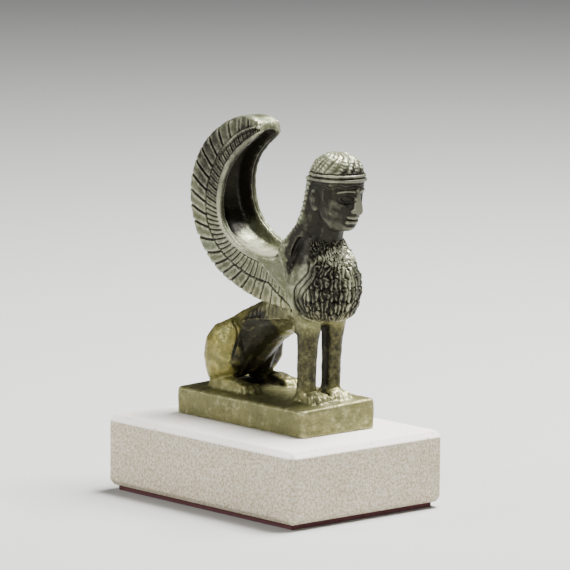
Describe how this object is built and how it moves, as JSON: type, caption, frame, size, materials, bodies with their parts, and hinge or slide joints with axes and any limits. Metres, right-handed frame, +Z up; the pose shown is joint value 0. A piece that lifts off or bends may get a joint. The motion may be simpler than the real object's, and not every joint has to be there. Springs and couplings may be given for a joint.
{
  "type": "sphinx statue",
  "caption": "Seated bronze sphinx with a crescent pair of wings, cast with its slab and set on a chamfered block of pale stone with a felt pad.",
  "frame": {"origin": "centre of the felt pad's underside, which is also the bottom centre of the stone block", "axes": "+Z up; -Y the way the sphinx faces, along the block's length; +X towards the sphinx's left"},
  "size_m": [0.056, 0.078, 0.1059],
  "materials": {
    "bronze": "patinated bronze, satin",
    "stone": "honed pale limestone",
    "felt": "dark red felt"
  },
  "bodies": {
    "root": {"sphinx": "bronze", "stone_base": "stone", "felt_pad": "felt"}
  },
  "joints": []
}
